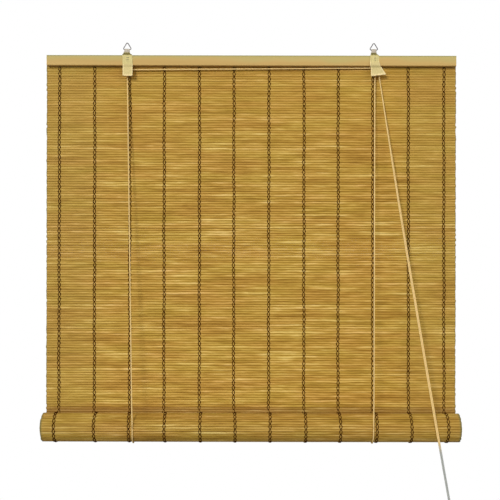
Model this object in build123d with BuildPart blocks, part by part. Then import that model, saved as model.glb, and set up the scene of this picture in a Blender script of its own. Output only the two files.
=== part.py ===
from build123d import *
from math import acos, atan2, cos, degrees, hypot, pi, radians, sin
import os

# A bamboo roll up blind, hung by two wire rings and rolled up part of the way.
# The origin is the middle of the wall face of the head. +X is to the right
# for someone in the room, +Y goes into the wall and +Z is up. Millimetres.

# The width of the mat sets the length of the head and the places of warps, tabs and nails
mat_width = 800.0

# Head: a front rail and a thin lath that clamp the top edge of the mat
rail_end_step = 2.0
rail_height = 20.0
rail_depth = 12.0
rail_edge_radius = 1.5
lath_depth = 6.0
nail_count = 8
nail_end_step = 50.0
nail_radius = 0.7
nail_length = 15.0
nail_head_radius = 1.8
nail_head_depth = 0.8

# Mat of split bamboo slats
mat_thickness = 2.0
mat_tuck = 18.0
slat_pitch = 4.79
slats_hanging = 146
groove_width = 1.1
groove_floor = 0.7
groove_depth = 0.6
gap_width = 0.6
slats_per_link = 2

# Warp chains that hold the slats
warp_count = 12
warp_edge_step = 24.6
warp_width = 5.6
warp_thickness = 0.5
gap_past_warp = 8.0

# Roll: the mat wound round a pole
pole_radius = 9.0
half_turns = 15
winding_gap = 0.4
pole_seat = 0.3
warp_start_angle = 6.0
warp_end_angle = 335.0

# Twill tape tabs and the rings that hang from them
tab_edge_step = 159.5
tab_shift = 1.0
tape_width = 20.0
tape_thickness = 1.0
tab_drop = 22.0
tab_flare = 13.0
tab_flare_rise = 2.5
tab_lean = 5.2
hem_height = 7.0
neck_width = 9.0
neck_shift = 2.8
neck_rise = 12.4
neck_start = 5.0
bar_y = -12.0
ring_wire_radius = 0.9
ring_base = 17.4
ring_rise = 14.4
ring_corner_radius = 2.0

# Staples through the tabs
staple_wire_radius = 0.35
staple_crown = 4.4
staple_shift = 1.0
staple_leg = 7.0
staple_bend = 0.5
staple_heights = (4.8, 0.7)

# Cord guides, one bent wire under the rail at each tab
guide_wire_radius = 0.9
guide_bend_radius = 3.3
guide_leg = 9.0
left_guide_shift = -1.0
right_guide_shift = 3.2
left_guide_drop = 6.1
right_guide_drop = 2.5

# Lift cords and pull cord
cord_diameter = 2.2
cord_apart = 2.3
left_loop_shift = 13.0
right_loop_shift = -8.6
back_cord_y = -4.0
anchor_knot_radius = 2.75
pull_gap = 0.45
# Middle of the two strands below the guide: how far to the right, to the room and down
pull_steps = ((26.0, 12.4, 174.5), (53.0, 25.6, 352.5), (109.2, 51.3, 706.5), (129.8, 60.9, 835.5))
# Half the way between the strands, along X and along Y, in shares of cord_apart
pull_spread = ((0.0, 0.5), (0.37, 0.52), (0.5, 0.26), (0.5, 0.0), (0.5, 0.0))
knot_radius = 3.9
knot_height = 10.0
tail_length = 14.0

# Clearances
touch = 0.05
cord_join = 0.12
slide = 0.3
bar_clearance = 0.15
hole_clearance = 0.02

# Places worked out from the sizes above
rail_length = mat_width - 2 * rail_end_step
nail_spacing = (mat_width - 2 * nail_end_step) / (nail_count - 1)
warp_spacing = (mat_width - 2 * warp_edge_step) / (warp_count - 1)
tab_spacing = mat_width - 2 * tab_edge_step
mat_back_y = -lath_depth
mat_front_y = mat_back_y - mat_thickness
rail_front_y = mat_front_y - rail_depth
rail_middle_y = mat_front_y - rail_depth / 2
rail_top = rail_height / 2
rail_bottom = -rail_height / 2
mat_top = rail_bottom + mat_tuck
turn_pitch = mat_thickness + winding_gap
roll_radius = pole_radius + pole_seat + mat_thickness + (half_turns - 1) * turn_pitch / 2
roll_y = mat_back_y - roll_radius
roll_z = rail_bottom - slats_hanging * slat_pitch
mat_bottom = roll_z + slide
link_pitch = slats_per_link * slat_pitch
warp_xs = [(i - (warp_count - 1) / 2) * warp_spacing for i in range(warp_count)]
tab_xs = {"left": tab_shift - tab_spacing / 2, "right": tab_shift + tab_spacing / 2}
left_guide_x = tab_xs["left"] + left_guide_shift
right_guide_x = tab_xs["right"] + right_guide_shift
left_loop_x = tab_xs["left"] + left_loop_shift
right_loop_x = tab_xs["right"] + right_loop_shift
cord_radius = cord_diameter / 2
turn_radius = guide_wire_radius + cord_radius
loop_radius = back_cord_y - roll_y
bar_z = rail_top + neck_rise
loop_hole = ring_wire_radius + bar_clearance
loop_outer = loop_hole + tape_thickness

os.makedirs("parts", exist_ok=True)


def save(piece, name):
    """Labels a finished piece and writes it as one STEP file."""
    piece.part.label = name
    export_step(piece.part, f"parts/{name}.step")


def make_head_rail():
    """Front batten, with seats at the back for the tape and holes for wire and nails."""
    with BuildPart() as rail:
        with BuildSketch(Plane.YZ):
            with Locations((rail_middle_y, 0)):
                Rectangle(rail_depth, rail_height)
        extrude(amount=rail_length / 2, both=True)
        front = rail.edges().filter_by(Axis.X).group_by(Axis.Y)[0]
        fillet(front, rail_edge_radius)
        seat_depth = tape_thickness + slide
        for x in tab_xs.values():
            with Locations((x - neck_shift, mat_front_y - seat_depth / 2, 0)):
                Box(neck_width + 2 * slide, seat_depth, rail_height, mode=Mode.SUBTRACT)
        with BuildSketch(Plane.XY.offset(rail_bottom)):
            with Locations(*guide_leg_places()):
                Circle(guide_wire_radius + hole_clearance)
        extrude(amount=guide_leg, mode=Mode.SUBTRACT)
        with BuildSketch(Plane.XZ.offset(-rail_front_y)):
            with Locations(*staple_leg_places()):
                Circle(staple_wire_radius + hole_clearance)
        extrude(amount=-staple_leg, mode=Mode.SUBTRACT)
        with BuildSketch(Plane.XZ.offset(-mat_front_y)):
            with GridLocations(nail_spacing, 1, nail_count, 1):
                Circle(nail_radius + hole_clearance)
        extrude(amount=nail_length + mat_front_y, mode=Mode.SUBTRACT)
    return rail


def guide_leg_places():
    """The X and Y of the four legs of the two cord guides."""
    places = []
    for x in (left_guide_x, right_guide_x):
        for side in (-1, 1):
            places.append((x, rail_middle_y + side * guide_bend_radius))
    return places


def staple_leg_places():
    """The X and Z of the legs of the staples."""
    places = []
    for x in tab_xs.values():
        for z in staple_heights:
            for side in (-1, 1):
                places.append((x - staple_shift + side * staple_crown / 2, z))
    return places


def make_back_lath():
    """Thin lath against the wall, with a groove for each lift cord and sunk nail heads."""
    with BuildPart() as lath:
        with BuildSketch(Plane.YZ):
            with Locations((-lath_depth / 2, 0)):
                Rectangle(lath_depth, rail_height)
        extrude(amount=rail_length / 2, both=True)
        groove_width_y = back_cord_y + cord_radius + touch - mat_back_y
        for x in (left_loop_x, right_loop_x):
            with Locations((x, mat_back_y + groove_width_y / 2, 0)):
                Box(cord_diameter + 2 * touch, groove_width_y, rail_height, mode=Mode.SUBTRACT)
        with Locations(Plane.XZ):
            with GridLocations(nail_spacing, 1, nail_count, 1):
                CounterBoreHole(nail_radius + hole_clearance, nail_head_radius + touch, nail_head_depth + touch)
    return lath


def make_lath_nails():
    """Nails driven from the wall side through lath and mat into the rail."""
    with BuildPart() as nails:
        for x in [place.position.X for place in GridLocations(nail_spacing, 1, nail_count, 1)]:
            with BuildSketch(Plane.XZ.offset(touch)):
                with Locations((x, 0)):
                    Circle(nail_head_radius)
            extrude(amount=nail_head_depth)
            with BuildSketch(Plane.XZ.offset(touch)):
                with Locations((x, 0)):
                    Circle(nail_radius)
            extrude(amount=nail_length - 2 * touch)
    return nails


def groove_points(y, inward, z):
    """The four corners of one groove between two slats, from the top down."""
    floor_y = y + inward * groove_depth
    return [
        (y, z + groove_width / 2),
        (floor_y, z + groove_floor / 2),
        (floor_y, z - groove_floor / 2),
        (y, z - groove_width / 2),
    ]


def make_slat_mat():
    """Hanging mat: one wall with a ridge for each slat and a gap after each link of the warps."""
    front = [(mat_front_y, mat_top)]
    back = [(mat_back_y, mat_top)]
    for i in range(1, slats_hanging):
        z = rail_bottom - i * slat_pitch
        front += groove_points(mat_front_y, 1, z)
        back += groove_points(mat_back_y, -1, z)
    front.append((mat_front_y, mat_bottom))
    back.append((mat_back_y, mat_bottom))
    gap_count = (slats_hanging - 1) // slats_per_link
    gap_length = 2 * (warp_xs[-1] + gap_past_warp)
    gap_middle = rail_bottom - (gap_count + 1) / 2 * link_pitch
    with BuildPart() as mat:
        with BuildSketch(Plane.YZ):
            with BuildLine():
                Polyline(*front, *reversed(back), close=True)
            make_face()
        extrude(amount=mat_width / 2, both=True)
        with BuildSketch(Plane.XZ.offset(-mat_back_y)):
            with Locations((0, gap_middle)):
                with GridLocations(1, link_pitch, 1, gap_count):
                    Rectangle(gap_length, gap_width)
            with GridLocations(nail_spacing, 1, nail_count, 1):
                Circle(nail_radius + hole_clearance)
        extrude(amount=mat_thickness, mode=Mode.SUBTRACT)
    return mat


def make_warp_threads():
    """The warps of the hanging mat: a flat band in front of and behind the slats at each."""
    front_end = roll_z + roll_radius / 3
    back_end = mat_bottom
    with BuildPart() as warps:
        for face_y, direction, end in ((mat_front_y, -1, front_end), (mat_back_y, 1, back_end)):
            length = rail_bottom - slide - end
            middle_y = face_y + direction * (touch + warp_thickness / 2)
            with Locations((0, middle_y, end + length / 2)):
                with GridLocations(warp_spacing, 1, warp_count, 1):
                    Box(warp_width, warp_thickness, length)
    return warps


def turn_radius_at(k):
    """Outer radius of the mat on half turn k, counted from the outside."""
    return roll_radius - k * turn_pitch / 2


def turn_centre_at(k):
    """Middle of half turn k in Y: the halves of the spiral swing round two centres."""
    return roll_y - (k % 2) * turn_pitch / 2


def turn_point(k, angle, radius):
    """Point of half turn k, with the angle in degrees from the wall side, down and forward."""
    return (
        turn_centre_at(k) + radius * cos(radians(angle)),
        roll_z - radius * sin(radians(angle)),
    )


def slatted_half_turn(k):
    """Outline of one half turn of flat slats with a groove between each two."""
    radius = turn_radius_at(k)
    slats = round(pi * radius / slat_pitch)
    points = []
    for j in range(slats):
        middle = 180 * k + (j + 0.5) * 180 / slats
        top = degrees(groove_width / 2 / radius)
        floor = degrees(groove_floor / 2 / radius)
        points.append(turn_point(k, middle - top, radius))
        points.append(turn_point(k, middle - floor, radius - groove_depth))
        points.append(turn_point(k, middle + floor, radius - groove_depth))
        points.append(turn_point(k, middle + top, radius))
    return points


def half_turn_arc(k, radius):
    """Plain arc of half turn k, from its wall or room side to the other."""
    start = turn_point(k, 180 * k, radius)
    middle = turn_point(k, 180 * k + 90, radius)
    end = turn_point(k, 180 * k + 180, radius)
    return ThreePointArc(start, middle, end)


def make_rolled_mat():
    """The rolled part of the mat: one spiral wall, with its slats showing on the outer turn."""
    slatted = 2
    outline = [turn_point(0, 0, roll_radius)]
    for k in range(slatted):
        outline += slatted_half_turn(k)
    outline.append(turn_point(slatted, 180 * slatted, turn_radius_at(slatted)))
    last = half_turns - 1
    with BuildPart() as roll:
        with BuildSketch(Plane.YZ):
            with BuildLine():
                Polyline(*outline)
                for k in range(slatted, half_turns):
                    half_turn_arc(k, turn_radius_at(k))
                Line(
                    turn_point(last, 180 * half_turns, turn_radius_at(last)),
                    turn_point(last, 180 * half_turns, turn_radius_at(last) - mat_thickness),
                )
                for k in range(half_turns):
                    half_turn_arc(k, turn_radius_at(k) - mat_thickness)
                Line(
                    turn_point(0, 0, roll_radius),
                    turn_point(0, 0, roll_radius - mat_thickness),
                )
            make_face()
        extrude(amount=mat_width / 2, both=True)
    return roll


def make_roll_warp_threads():
    """The warps where they show on the roll, each a thin band round its outer turn."""
    with BuildPart() as warps:
        for x in warp_xs:
            with BuildSketch(Plane.YZ.offset(x)):
                with BuildLine():
                    edges = []
                    for lift in (touch, touch + warp_thickness):
                        lower = turn_radius_at(0) + lift
                        upper = turn_radius_at(1) + lift
                        half = (180 + warp_start_angle) / 2
                        top = (180 + warp_end_angle) / 2
                        ThreePointArc(
                            turn_point(0, warp_start_angle, lower),
                            turn_point(0, half, lower),
                            turn_point(0, 180, lower),
                        )
                        ThreePointArc(
                            turn_point(1, 180, upper),
                            turn_point(1, top, upper),
                            turn_point(1, warp_end_angle, upper),
                        )
                        edges.append((turn_point(0, warp_start_angle, lower), turn_point(1, warp_end_angle, upper)))
                    Line(edges[0][0], edges[1][0])
                    Line(edges[0][1], edges[1][1])
                make_face()
            extrude(amount=warp_width / 2, both=True)
    return warps


def make_bottom_pole():
    """Pole at the bottom edge of the mat, in the heart of the roll."""
    with BuildPart() as pole:
        with BuildSketch(Plane.YZ):
            with Locations((roll_y, roll_z)):
                Circle(pole_radius)
        extrude(amount=mat_width / 2, both=True)
        chamfer(pole.edges(), 0.8)
    return pole


def make_tape_tab(x, flare):
    """One tape: a flap in front of the rail, a gathered neck and a loop round the ring's bar."""
    front_y = rail_front_y - touch - tape_thickness / 2
    tape_bottom = rail_bottom - tab_drop
    neck_x = x - neck_shift
    loop_middle = (loop_hole + loop_outer) / 2
    seat_y = mat_front_y - touch - tape_thickness / 2
    shoulder = rail_top + neck_start
    half = tape_width / 2
    hem_lean = tab_lean * (1 - hem_height / tab_drop)
    with BuildPart() as tab:
        with BuildSketch(Plane.YZ.offset(x)):
            with BuildLine():
                FilletPolyline(
                    (front_y - tab_lean, tape_bottom),
                    (front_y, rail_bottom),
                    (front_y, rail_top + tape_thickness),
                    (bar_y - loop_middle, shoulder),
                    (bar_y - loop_middle, bar_z),
                    radius=tape_thickness,
                )
            trace(line_width=tape_thickness)
            with BuildLine():
                Line(
                    (front_y - tab_lean - tape_thickness, tape_bottom),
                    (front_y - hem_lean - tape_thickness, tape_bottom + hem_height),
                )
            trace(line_width=tape_thickness)
        extrude(amount=half + flare, both=True)
        with BuildSketch(Plane.XZ):
            with BuildLine():
                Polyline(
                    (x - half, tape_bottom),
                    (x + half + flare, tape_bottom + (tab_flare_rise if flare else 0)),
                    (x + half, rail_bottom),
                    (x + half, rail_top),
                    (neck_x + neck_width / 2, shoulder),
                    (neck_x + neck_width / 2, bar_z + loop_outer),
                    (neck_x - neck_width / 2, bar_z + loop_outer),
                    (neck_x - neck_width / 2, shoulder),
                    (x - half, rail_top),
                    close=True,
                )
            make_face()
        extrude(amount=-2 * rail_front_y, both=True, mode=Mode.INTERSECT)
        with BuildSketch(Plane.YZ.offset(neck_x)):
            with BuildLine():
                FilletPolyline(
                    (bar_y + loop_middle, bar_z),
                    (bar_y + loop_middle, shoulder),
                    (seat_y, rail_top),
                    (seat_y, rail_bottom + tape_thickness),
                    radius=tape_thickness,
                )
            trace(line_width=tape_thickness)
            with Locations((bar_y, bar_z)):
                Circle(loop_outer)
        extrude(amount=neck_width / 2, both=True)
        with BuildSketch(Plane.YZ.offset(neck_x)):
            with Locations((bar_y, bar_z)):
                Circle(loop_hole)
        extrude(amount=neck_width, both=True, mode=Mode.SUBTRACT)
        with BuildSketch(Plane.XZ.offset(-rail_front_y)):
            with Locations(*[place for place in staple_leg_places() if abs(place[0] - x) < tape_width]):
                Circle(staple_wire_radius + hole_clearance)
        extrude(amount=2 * tape_thickness, mode=Mode.SUBTRACT)
    return tab


def make_hang_ring(x):
    """Triangular ring of bent wire, its lower bar in the loop of the tape."""
    with BuildPart() as ring:
        with BuildLine(Plane.XZ.offset(-bar_y)) as route:
            FilletPolyline(
                (x - ring_base / 2, bar_z),
                (x + ring_base / 2, bar_z),
                (x, bar_z + ring_rise),
                radius=ring_corner_radius,
                close=True,
            )
        with BuildSketch(Plane(route.line @ 0, z_dir=route.line % 0)):
            Circle(ring_wire_radius)
        sweep()
    return ring


def make_tab_staples():
    """Two wire staples in each tab."""
    crown_y = rail_front_y - touch - tape_thickness - staple_bend
    tip_y = rail_front_y + staple_leg - 2 * touch
    half = staple_crown / 2
    with BuildPart() as staples:
        for x in [tab_x - staple_shift for tab_x in tab_xs.values()]:
            for z in staple_heights:
                with BuildLine():
                    FilletPolyline(
                        (x - half, tip_y, z),
                        (x - half, crown_y, z),
                        (x + half, crown_y, z),
                        (x + half, tip_y, z),
                        radius=staple_bend,
                    )
                with BuildSketch(Plane((x - half, tip_y, z), z_dir=(0, -1, 0))):
                    Circle(staple_wire_radius)
                sweep()
    return staples


def make_cord_guide(x, drop):
    """Bent wire with both legs driven up into the rail, which the cords run over."""
    bend_z = rail_bottom - drop
    top_z = rail_bottom + guide_leg - touch
    front_y = rail_middle_y - guide_bend_radius
    back_y = rail_middle_y + guide_bend_radius
    with BuildPart() as guide:
        with BuildLine(Plane.YZ.offset(x)):
            Line((front_y, top_z), (front_y, bend_z))
            ThreePointArc((front_y, bend_z), (rail_middle_y, bend_z - guide_bend_radius), (back_y, bend_z))
            Line((back_y, bend_z), (back_y, top_z))
        with BuildSketch(Plane((x, front_y, top_z), z_dir=(0, 0, -1))):
            Circle(guide_wire_radius)
        sweep()
    return guide


# Routes of the cords, each a list of points with the arc radii at its corners
seat_in_bend = guide_bend_radius - guide_wire_radius - cord_radius
left_run_z = rail_bottom - left_guide_drop - seat_in_bend
side_seat = (seat_in_bend**2 - (cord_apart / 2) ** 2) ** 0.5
right_run_z = rail_bottom - right_guide_drop - side_seat
pair_back_y = rail_middle_y + cord_apart / 2
pair_front_y = rail_middle_y - cord_apart / 2


def loop_tangent(start_y, start_z):
    """Where a cord from the guide meets the loop under the roll, and its angle past level."""
    away = hypot(start_y - roll_y, start_z - roll_z)
    towards_start = atan2(start_z - roll_z, start_y - roll_y)
    angle = towards_start + acos(loop_radius / away)
    return (roll_y + loop_radius * cos(angle), roll_z + loop_radius * sin(angle), angle)


def cord_tube(name, points, radii):
    """Plain round cord along straight runs joined by tangent arcs."""
    with BuildPart() as cord:
        with BuildLine() as route:
            if radii:
                FilletPolyline(*points, radius=radii)
            else:
                Line(*points)
        with BuildSketch(Plane(route.line @ 0, z_dir=route.line % 0)):
            Circle(cord_radius)
        sweep()
    report_cord(name, cord, route, radii)
    return cord


def report_cord(name, cord, route, radii):
    """Prints the arc radii of a cord and its volume against its section times its length."""
    length = sum(edge.length for edge in route.edges())
    share = cord.part.volume / (pi * cord_radius**2 * length)
    shown = ", ".join(f"{radius:.1f}" for radius in radii)
    print(f"{name}: length {length:.1f}, volume share {share:.5f}, radii {shown}")


def make_cord_loop(name, x, tangent_angle):
    """The stretch of a lift cord that passes under the roll, from the wall side to the front."""
    with BuildPart() as loop:
        with BuildLine(Plane.YZ.offset(x)) as route:
            middle = (tangent_angle - 2 * pi) / 2
            ThreePointArc(
                (roll_y + loop_radius, roll_z),
                (roll_y + loop_radius * cos(middle), roll_z + loop_radius * sin(middle)),
                (roll_y + loop_radius * cos(tangent_angle), roll_z + loop_radius * sin(tangent_angle)),
            )
        with BuildSketch(Plane((x, roll_y + loop_radius, roll_z), z_dir=(0, 0, -1))):
            Circle(cord_radius)
        sweep()
    report_cord(name, loop, route, [loop_radius])
    return loop


def make_cord_turn(x, y, z):
    """The half circle of the right lift cord over its guide."""
    with BuildPart() as turn:
        with BuildLine(Plane.XZ.offset(-y)) as route:
            ThreePointArc((x - turn_radius, z), (x, z + turn_radius), (x + turn_radius, z))
        with BuildSketch(Plane((x - turn_radius, y, z), z_dir=(0, 0, 1))):
            Circle(cord_radius)
        sweep()
    report_cord("lift_cord_right_turn", turn, route, [turn_radius])
    return turn


def arc_radii(points):
    """The largest arc at each corner: 0.45 of the shorter run over the tangent of half the turn."""
    radii = []
    for before, corner, after in zip(points, points[1:], points[2:]):
        run_in = Vector(*corner) - Vector(*before)
        run_out = Vector(*after) - Vector(*corner)
        turn = radians(run_in.get_angle(run_out))
        radii.append(0.45 * min(run_in.length, run_out.length) * cos(turn / 2) / sin(turn / 2))
    return radii


def make_anchor_knots():
    """A knot on each lift cord above the lath, which holds its fixed end."""
    with BuildPart() as knots:
        for x in (left_loop_x, right_loop_x):
            with Locations((x, back_cord_y, rail_top + touch)):
                Sphere(anchor_knot_radius)
        split(bisect_by=Plane.XY.offset(rail_top + touch), keep=Keep.TOP)
    return knots


def make_pull_knot(top):
    """The knot that ends both strands of the pull cord, with its two short tails."""
    x, y, z = top
    with BuildPart() as knot:
        with BuildSketch(Plane.XZ.offset(-y)):
            with Locations((x, z - knot_height / 2)):
                Ellipse(knot_radius, knot_height / 2 + touch)
            with Locations((x - knot_radius, z - knot_height / 2)):
                Rectangle(2 * knot_radius, 2 * knot_height, mode=Mode.SUBTRACT)
        revolve(axis=Axis((x, y, z), (0, 0, 1)))
        split(bisect_by=Plane.XY.offset(z - 2 * cord_join), keep=Keep.BOTTOM)
        with BuildSketch(Plane.XY.offset(z - knot_height / 2)):
            with Locations((x - cord_apart / 2, y), (x + cord_apart / 2, y)):
                Circle(cord_radius)
        extrude(amount=-(knot_height / 2 + tail_length))
    return knot


save(make_head_rail(), "head_rail")
save(make_back_lath(), "back_lath")
save(make_lath_nails(), "lath_nails")
save(make_slat_mat(), "slat_mat")
save(make_warp_threads(), "warp_threads")
save(make_rolled_mat(), "rolled_mat")
save(make_roll_warp_threads(), "roll_warp_threads")
save(make_bottom_pole(), "bottom_pole")
save(make_tape_tab(tab_xs["left"], 0.0), "tape_tab_left")
save(make_tape_tab(tab_xs["right"], tab_flare), "tape_tab_right")
save(make_hang_ring(tab_xs["left"] - neck_shift), "hang_ring_left")
save(make_hang_ring(tab_xs["right"] - neck_shift), "hang_ring_right")
save(make_tab_staples(), "tab_staples")
save(make_cord_guide(left_guide_x, left_guide_drop), "cord_guide_left")
save(make_cord_guide(right_guide_x, right_guide_drop), "cord_guide_right")

# Left lift cord: up the front, over its guide and along under the rail to the right guide
left_start_z = left_run_z - turn_radius
left_front_y, left_front_z, left_angle = loop_tangent(rail_middle_y, left_start_z)
left_front = [
    (left_loop_x, left_front_y, left_front_z + touch),
    (left_guide_x - turn_radius, rail_middle_y, left_start_z - cord_join),
]
save(cord_tube("lift_cord_left_front", left_front, []), "lift_cord_left_front")
save(make_cord_loop("lift_cord_left_loop", left_loop_x, left_angle), "lift_cord_left_loop")
cross = [
    (left_guide_x - turn_radius, rail_middle_y, left_start_z),
    (left_guide_x - turn_radius, rail_middle_y, left_run_z),
    (right_guide_x + turn_radius, pair_back_y, right_run_z),
    (right_guide_x + turn_radius, pair_back_y, right_run_z - turn_radius),
]
save(cord_tube("cross_cord", cross, [0.98 * turn_radius] * 2), "cross_cord")

# Right lift cord: up the front and over its guide into the pull cord
right_start_z = right_run_z - turn_radius
right_front_y, right_front_z, right_angle = loop_tangent(pair_front_y, right_start_z)
right_front = [
    (right_loop_x, right_front_y, right_front_z + touch),
    (right_guide_x - turn_radius, pair_front_y, right_start_z - cord_join),
]
save(cord_tube("lift_cord_right_front", right_front, []), "lift_cord_right_front")
save(make_cord_loop("lift_cord_right_loop", right_loop_x, right_angle), "lift_cord_right_loop")
save(make_cord_turn(right_guide_x, pair_front_y, right_start_z), "lift_cord_right_turn")

# Back runs, straight up behind the mat to the anchor knots
for side, x in (("left", left_loop_x), ("right", right_loop_x)):
    back = [(x, back_cord_y, roll_z), (x, back_cord_y, rail_top + touch)]
    save(cord_tube(f"lift_cord_{side}_back", back, []), f"lift_cord_{side}_back")
save(make_anchor_knots(), "anchor_knots")

# Pull cord: two strands that lie one before the other at the guide and side by side below
pull_top = (right_guide_x + turn_radius, rail_middle_y, right_start_z - pull_gap)
pull_middle = [pull_top] + [(pull_top[0] + x, pull_top[1] - y, pull_top[2] - z) for x, y, z in pull_steps]
for side, sign in (("left", 1), ("right", -1)):
    strand = []
    for (x, y, z), (share_x, share_y) in zip(pull_middle, pull_spread):
        strand.append((x + sign * share_x * cord_apart, y + sign * share_y * cord_apart, z))
    save(cord_tube(f"pull_cord_{side}", strand, arc_radii(strand)), f"pull_cord_{side}")
save(make_pull_knot(pull_middle[-1]), "pull_knot")
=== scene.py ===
import math

import bpy
import numpy as np
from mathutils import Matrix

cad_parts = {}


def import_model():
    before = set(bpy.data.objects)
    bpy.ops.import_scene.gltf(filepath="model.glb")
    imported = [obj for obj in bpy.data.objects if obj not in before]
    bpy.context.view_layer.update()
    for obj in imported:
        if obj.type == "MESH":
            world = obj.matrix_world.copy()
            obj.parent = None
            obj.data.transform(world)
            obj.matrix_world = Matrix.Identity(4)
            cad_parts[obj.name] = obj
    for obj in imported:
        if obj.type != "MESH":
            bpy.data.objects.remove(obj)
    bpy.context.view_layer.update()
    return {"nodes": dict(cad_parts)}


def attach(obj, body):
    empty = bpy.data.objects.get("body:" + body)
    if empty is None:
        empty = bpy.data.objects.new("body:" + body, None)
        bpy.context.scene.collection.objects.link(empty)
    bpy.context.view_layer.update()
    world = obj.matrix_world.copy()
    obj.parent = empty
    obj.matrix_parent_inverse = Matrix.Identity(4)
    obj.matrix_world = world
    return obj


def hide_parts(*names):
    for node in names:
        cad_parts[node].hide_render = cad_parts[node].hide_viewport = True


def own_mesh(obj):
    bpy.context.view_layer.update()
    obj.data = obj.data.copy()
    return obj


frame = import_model()
nodes = frame["nodes"]
scene = bpy.context.scene
chance = np.random.default_rng(17)
MM = 0.001

# Camera: straight at the wall, near the middle of the mat, and rolled a little as the blind hangs askew
PICTURE_WIDTH = 500
FOCAL_PIXELS = 920.5
ROLL_DEGREES = -0.12
eye = bpy.data.cameras.new("camera")
eye.sensor_width = 36.0
eye.lens = 36.0 * FOCAL_PIXELS / PICTURE_WIDTH
camera = bpy.data.objects.new("camera", eye)
camera.location = (-2.1 * MM, -1808 * MM, -368.2 * MM)
camera.rotation_euler = (math.radians(90), math.radians(ROLL_DEGREES), 0)
scene.collection.objects.link(camera)
scene.camera = camera

# Sizes of the blind, in metres, the same as in the part's source
RAIL_BOTTOM = -10 * MM
MAT_TOP = 8 * MM
MAT_MIDDLE_Y = -7 * MM
MAT_HALF = 1 * MM
PITCH = 4.79 * MM
SLATS = 146
HALF_WIDTH = 400 * MM
ROLL_Y = -34.1 * MM
ROLL_Z = -709.34 * MM
ROLL_RADIUS = 28.1 * MM
TURN_PITCH = 2.4 * MM
HALF_TURNS = 15
WARP_SPACING = 68.2545 * MM
WARPS = (np.arange(12) - 5.5) * WARP_SPACING
LINK = 2 * PITCH
CORD = 2.2 * MM
LOOP_RADIUS = 30.1 * MM
BACK_RUN_Y = -4 * MM
BACK_RUN_TOP = 10.05 * MM
TAPE_WIDTH = 20 * MM
TRAVEL = 589 * MM
KEEP = 1 - TRAVEL / (MAT_TOP - ROLL_Z)

# The number, for its tones, of the first slat below the rail
FIRST_TONE = 10.0


def colour(red, green, blue):
    """An 8 bit screen colour as the linear colour that renders as it: the sRGB curve undone."""
    shade = np.array([red, green, blue]) / 255
    linear = np.where(shade <= 0.04045, shade / 12.92, ((shade + 0.055) / 1.055) ** 2.4)
    return (*(float(v) for v in linear), 1.0)


def node(tree, kind, inputs=None, **settings):
    """Adds one shader node; inputs maps a socket's name or number to a value or to another socket."""
    made = tree.nodes.new(kind)
    for name, value in settings.items():
        setattr(made, name, value)
    for key, value in (inputs or {}).items():
        if isinstance(value, bpy.types.NodeSocket):
            tree.links.new(value, made.inputs[key])
        else:
            made.inputs[key].default_value = value
    return made


def maths(tree, operation, *values):
    """One sum on numbers or sockets."""
    return node(tree, "ShaderNodeMath", dict(enumerate(values)), operation=operation).outputs[0]


def times(tree, first, second):
    """The product of two numbers or sockets."""
    return maths(tree, "MULTIPLY", first, second)


def centred(tree, value, middle=0.5):
    """A value less its middle."""
    return maths(tree, "SUBTRACT", value, middle)


def noise(tree, place, scale, detail):
    """Plain noise at a place."""
    made = node(tree, "ShaderNodeTexNoise", {"Vector": place, "Scale": scale, "Detail": detail})
    return made.outputs[0]


def attribute(tree, name):
    """A number that the mesh carries."""
    return node(tree, "ShaderNodeAttribute", attribute_name=name).outputs["Fac"]


def ramp(tree, factor, stops):
    """A colour ramp from a list of (place, colour)."""
    made = node(tree, "ShaderNodeValToRGB", {0: factor})
    made.color_ramp.elements[0].position = stops[0][0]
    made.color_ramp.elements[0].color = stops[0][1]
    made.color_ramp.elements[1].position = stops[-1][0]
    made.color_ramp.elements[1].color = stops[-1][1]
    for place, shade in stops[1:-1]:
        made.color_ramp.elements.new(place).color = shade
    return made.outputs[0]


def blended(tree, factor, first, second, how="MIX"):
    """Two colours put together by a factor."""
    made = node(tree, "ShaderNodeMix", {0: factor, 6: first, 7: second}, data_type="RGBA", blend_type=how)
    return made.outputs[2]


def step(tree, value, low, high):
    """0 below low, 1 above high, and smooth between."""
    made = node(tree, "ShaderNodeMapRange", {0: value, 1: low, 2: high}, interpolation_type="SMOOTHSTEP")
    return made.outputs[0]


def effect(name, inputs, outputs):
    """An empty node group with named number inputs and outputs, and its two end nodes."""
    tree = bpy.data.node_groups.new(name, "ShaderNodeTree")
    for label, kind, default in inputs:
        socket = tree.interface.new_socket(label, in_out="INPUT", socket_type=kind)
        if default is not None:
            socket.default_value = default
    for label, kind in outputs:
        tree.interface.new_socket(label, in_out="OUTPUT", socket_type=kind)
    return tree, tree.nodes.new("NodeGroupInput"), tree.nodes.new("NodeGroupOutput")


def fibres_group():
    """Fibres that run along one axis: noise drawn out lengthwise, a fine and a broad one."""
    tree, given, result = effect(
        "fibres",
        [
            ("Place", "NodeSocketVector", None),
            ("Along", "NodeSocketFloat", 20.0),
            ("Across", "NodeSocketFloat", 600.0),
            ("Shift", "NodeSocketFloat", 0.0),
        ],
        [("Fine", "NodeSocketFloat"), ("Broad", "NodeSocketFloat")],
    )
    parts = node(tree, "ShaderNodeSeparateXYZ", {0: given.outputs["Place"]})
    along = times(tree, parts.outputs[0], given.outputs["Along"])
    along = maths(tree, "ADD", along, given.outputs["Shift"])
    across = times(tree, parts.outputs[1], given.outputs["Across"])
    depth = times(tree, parts.outputs[2], given.outputs["Across"])
    place = node(tree, "ShaderNodeCombineXYZ", {0: along, 1: across, 2: depth}).outputs[0]
    drawn_out = {0: place, 1: (0.35, 0.2, 0.2)}
    wide = node(tree, "ShaderNodeVectorMath", drawn_out, operation="MULTIPLY").outputs[0]
    tree.links.new(noise(tree, place, 1.0, 3.0), result.inputs["Fine"])
    tree.links.new(noise(tree, wide, 1.0, 2.0), result.inputs["Broad"])
    return tree


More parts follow.
